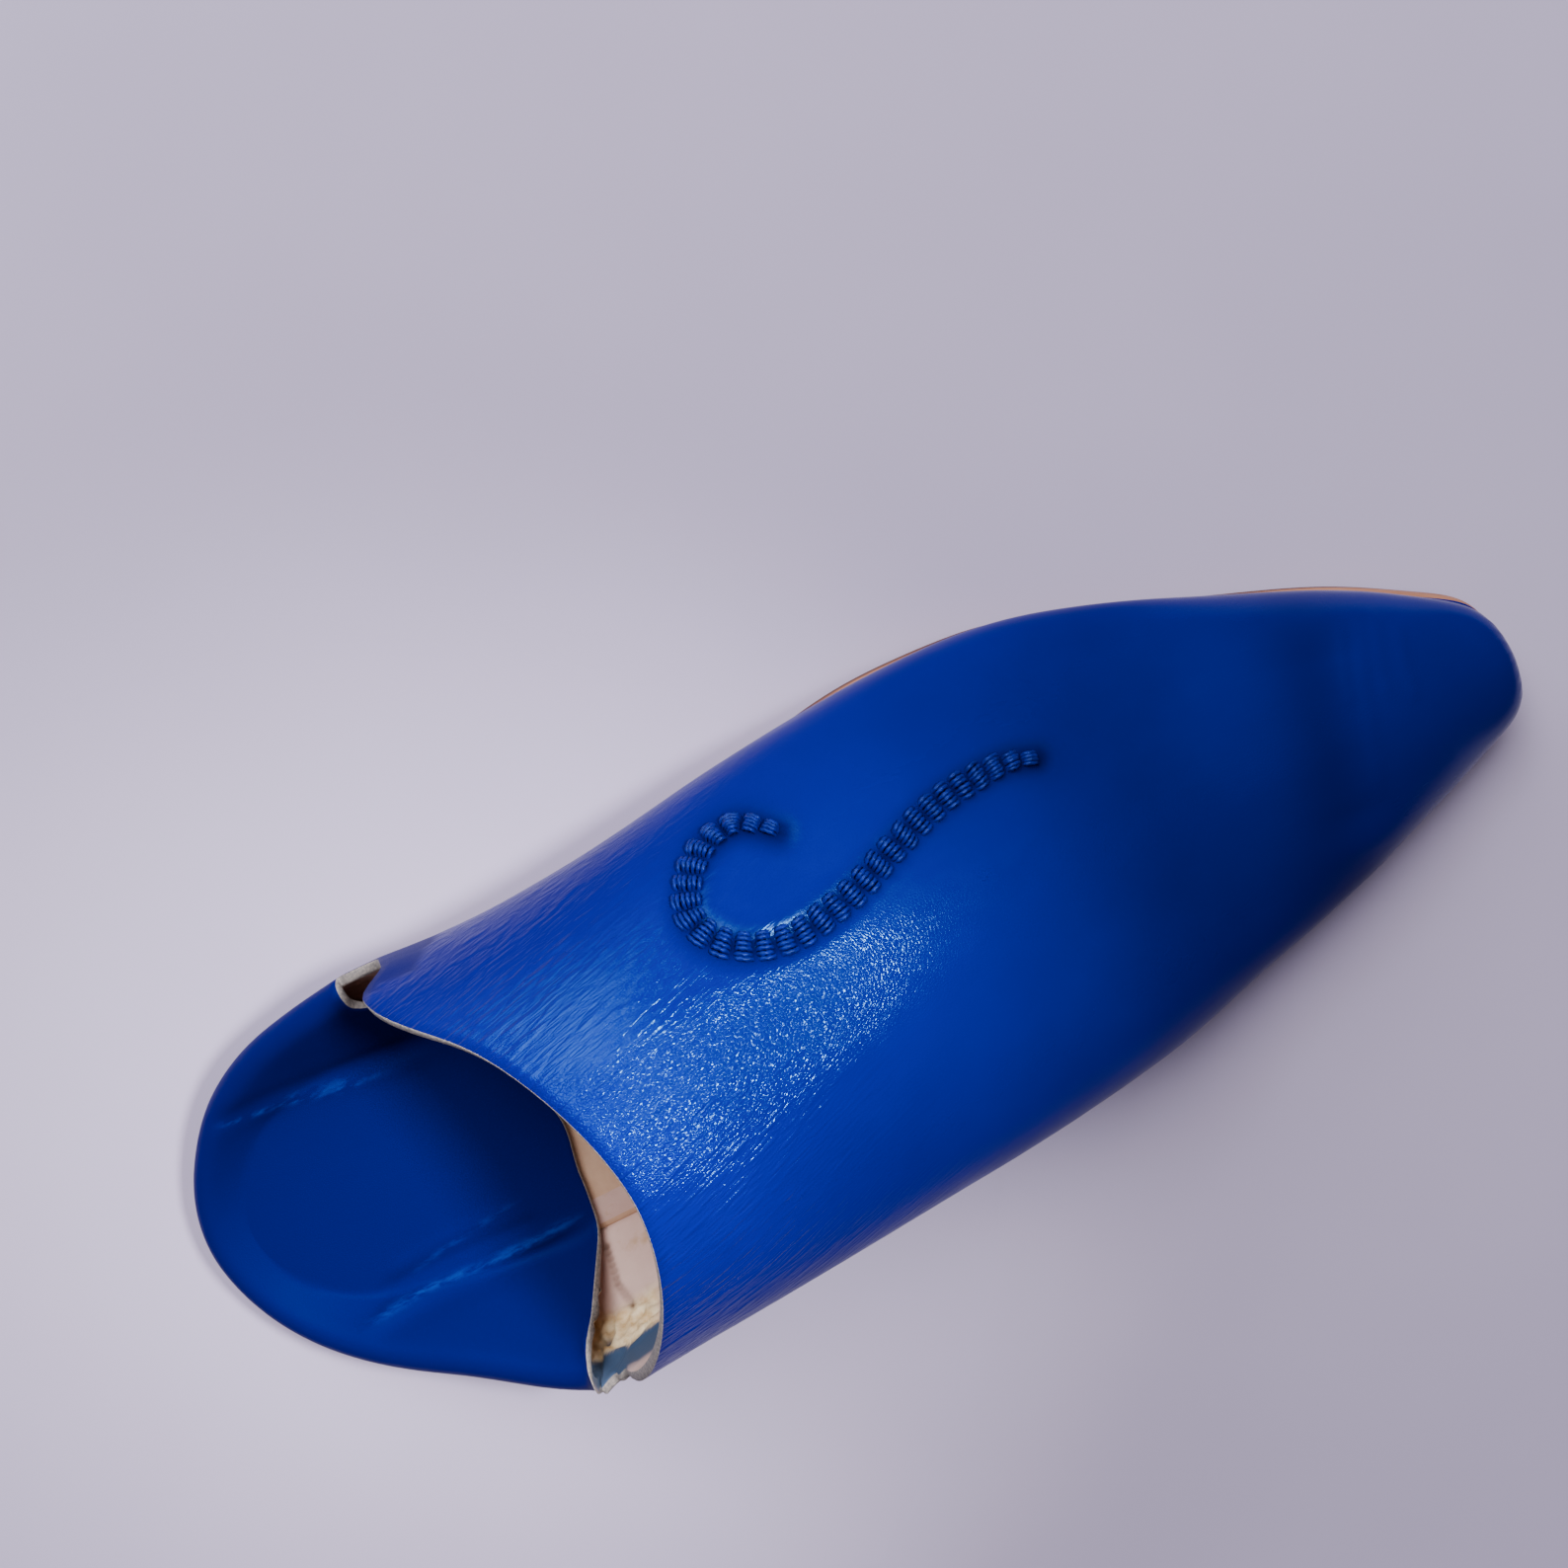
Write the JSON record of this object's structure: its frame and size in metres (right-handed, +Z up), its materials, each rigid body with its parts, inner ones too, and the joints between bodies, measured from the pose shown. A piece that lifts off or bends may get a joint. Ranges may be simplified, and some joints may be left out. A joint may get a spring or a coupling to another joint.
{
  "type": "babouche",
  "caption": "Flat pointed leather slipper for the left foot, blue upper with a stitched flourish, its back folded down inside.",
  "frame": {"origin": "on the floor, under the middle of the shoe's bounding box", "axes": "+X towards the toe, +Y towards the wearer's left, +Z up"},
  "size_m": [0.26, 0.087, 0.0759],
  "materials": {
    "outsole": "smooth, lightly burnished",
    "insole": "matte",
    "upper": "semi-gloss, fine grain"
  },
  "bodies": {
    "root": {"outsole": "outsole", "insole": "insole", "upper": "upper"}
  },
  "joints": []
}
